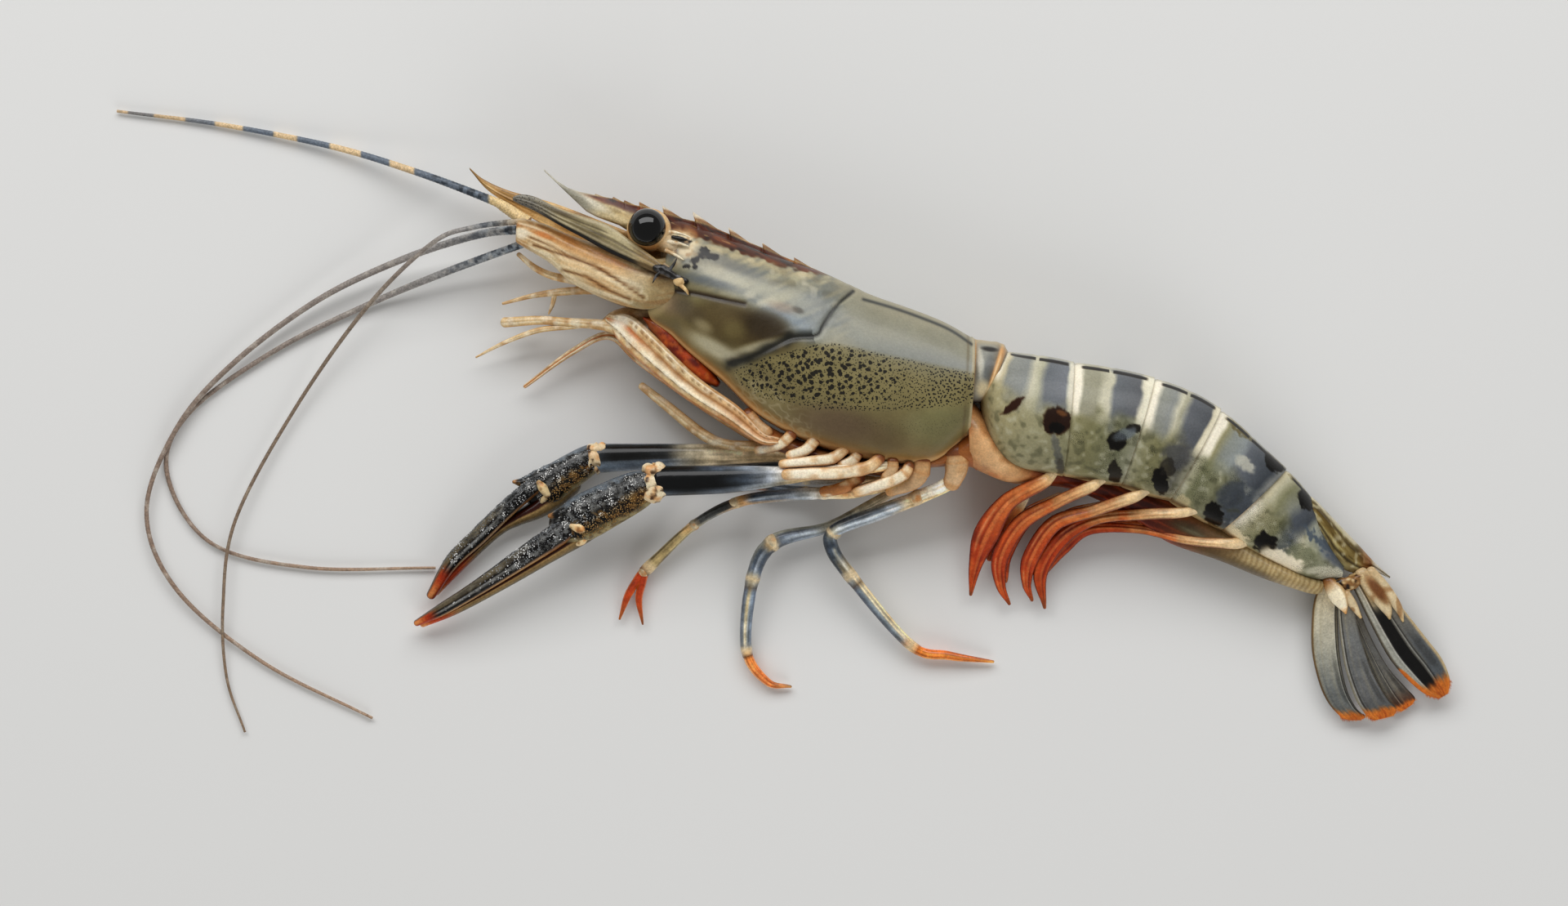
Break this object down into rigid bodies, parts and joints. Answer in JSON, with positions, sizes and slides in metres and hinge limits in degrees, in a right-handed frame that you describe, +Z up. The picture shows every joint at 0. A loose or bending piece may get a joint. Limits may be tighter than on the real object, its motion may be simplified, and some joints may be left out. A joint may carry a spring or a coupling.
{
  "type": "raw king prawn",
  "caption": "Whole raw king prawn lying on its side, with shell, long feelers, claws, walking legs, swimmerets and a spread tail fan.",
  "frame": {"origin": "on the resting face, under the middle of the carapace", "axes": "+X from head to tail, +Y towards the back of the animal, +Z up, away from what it lies on"},
  "size_m": [0.2829, 0.1324, 0.0255],
  "materials": {
    "carapace_shell": "wet, slightly see-through shell, speckled",
    "tail_shell": "wet banded shell",
    "flesh": "moist flesh",
    "gill_flesh": "moist orange flesh",
    "eye": "glossy black",
    "antenna_shell": "cream shell with fine grooves",
    "scale_shell": "thin grey shell",
    "feeler": "fine ringed shell",
    "mouth_limb": "cream shell",
    "arm_shell": "glossy blue-black shell",
    "claw_shell": "glossy bumpy black shell",
    "leg_shell": "glossy blue-grey shell",
    "swimmeret": "wet orange-red blades",
    "tail_fan": "thin grey blades with orange fringe"
  },
  "bodies": {
    "root": {"carapace": "carapace_shell", "abdomen_1": "tail_shell", "abdomen_2": "tail_shell", "abdomen_3": "tail_shell", "abdomen_4": "tail_shell", "abdomen_5": "tail_shell", "abdomen_6": "tail_shell", "telson": "tail_shell", "belly": "flesh", "breast": "flesh", "gills": "gill_flesh", "eye_left": "eye", "eye_right": "eye", "antenna_base_left": "antenna_shell", "antenna_base_right": "antenna_shell", "antenna_scale_left": "scale_shell", "antenna_scale_right": "scale_shell", "feeler_1": "feeler", "feeler_2": "feeler", "feeler_3": "feeler", "feeler_4": "feeler", "mouth_leg_left": "mouth_limb", "mouth_leg_right": "mouth_limb", "mouth_palp_upper": "mouth_limb", "mouth_palp_lower": "mouth_limb", "pincer_leg_right": "mouth_limb", "claw_left_arm": "arm_shell", "claw_right_arm": "arm_shell", "claw_left_palm": "claw_shell", "claw_left_finger": "claw_shell", "claw_right_palm": "claw_shell", "claw_right_finger": "claw_shell", "pincer_leg_left": "leg_shell", "walking_leg_left_3": "leg_shell", "walking_leg_left_4": "leg_shell", "walking_leg_left_5": "leg_shell", "walking_leg_right_3": "leg_shell", "walking_leg_right_4": "leg_shell", "walking_leg_right_5": "leg_shell", "swimmeret_left_1": "swimmeret", "swimmeret_left_2": "swimmeret", "swimmeret_left_3": "swimmeret", "swimmeret_left_4": "swimmeret", "swimmeret_left_5": "swimmeret", "swimmeret_right_1": "swimmeret", "swimmeret_right_2": "swimmeret", "swimmeret_right_3": "swimmeret", "swimmeret_right_4": "swimmeret", "swimmeret_right_5": "swimmeret", "tail_blade_1": "tail_fan", "tail_blade_2": "tail_fan", "tail_blade_3": "tail_fan", "tail_blade_4": "tail_fan"}
  },
  "joints": []
}
